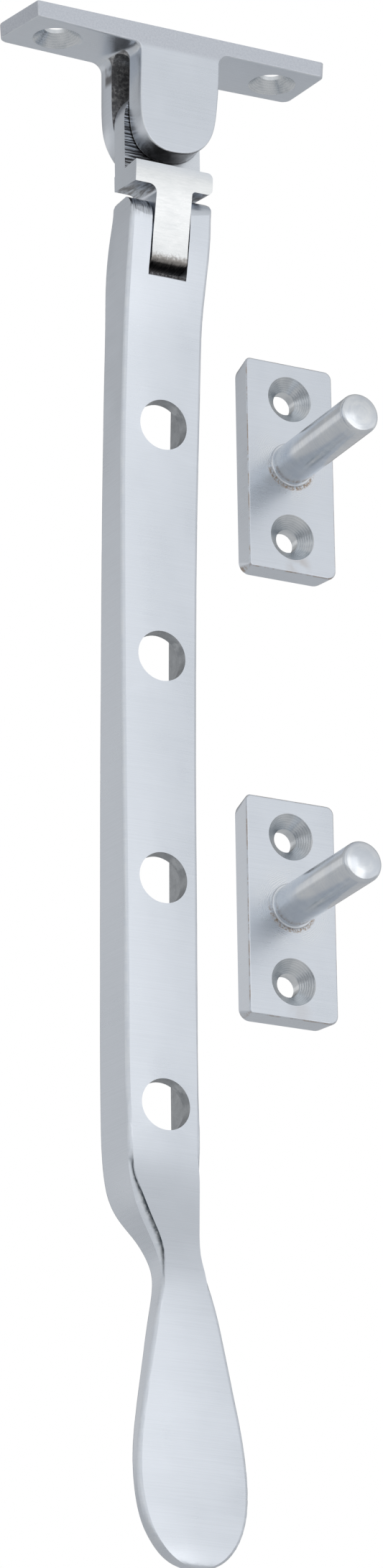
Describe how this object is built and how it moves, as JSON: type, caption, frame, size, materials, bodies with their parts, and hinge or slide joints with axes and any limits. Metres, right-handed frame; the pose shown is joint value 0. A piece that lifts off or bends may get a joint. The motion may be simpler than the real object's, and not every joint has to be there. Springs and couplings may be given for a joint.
{
  "type": "casement window stay",
  "caption": "Peg type casement window stay: sash bracket, two-way knuckle, channel arm with a row of holes and a spoon handle, and screw-on pin plates.",
  "frame": {"origin": "middle of the sash bracket's flat mounting face", "axes": "+Z out of the mounting face, so the arm hangs along -Z; +X to the right seen from the front; the front faces and the pegs look along -Y"},
  "size_m": [0.0831, 0.0519, 0.2694],
  "materials": {
    "satin_chrome": "brushed satin chrome plate on a casting",
    "turned_chrome": "turned and polished, satin chrome plated"
  },
  "bodies": {
    "sash": {"sash_bracket": "satin_chrome", "swivel_pin": "turned_chrome"},
    "knuckle_link": {"knuckle": "satin_chrome"},
    "arm": {"stay_arm": "satin_chrome", "lift_pin": "turned_chrome"},
    "upper_pin": {"upper_pin_plate": "satin_chrome", "upper_peg": "turned_chrome"},
    "lower_pin": {"lower_pin_plate": "satin_chrome", "lower_peg": "turned_chrome"}
  },
  "joints": [
    {"name": "swivel", "type": "hinge", "parent": "sash", "child": "knuckle_link", "pos_m": [-0.0006, 0, -0.0157], "axis": [0, -1, 0], "range_deg": [-90, 90]},
    {"name": "lift", "type": "hinge", "parent": "knuckle_link", "child": "arm", "pos_m": [-0.0012, -0.0009, -0.0363], "axis": [-1, 0, 0], "range_deg": [-20, 90]},
    {"name": "upper_pin_shift", "type": "slide", "parent": "sash", "child": "upper_pin", "axis": [0, -1, 0], "range_m": [0, 0.027]},
    {"name": "lower_pin_shift", "type": "slide", "parent": "sash", "child": "lower_pin", "axis": [0, -1, 0], "range_m": [0, 0.027]}
  ]
}
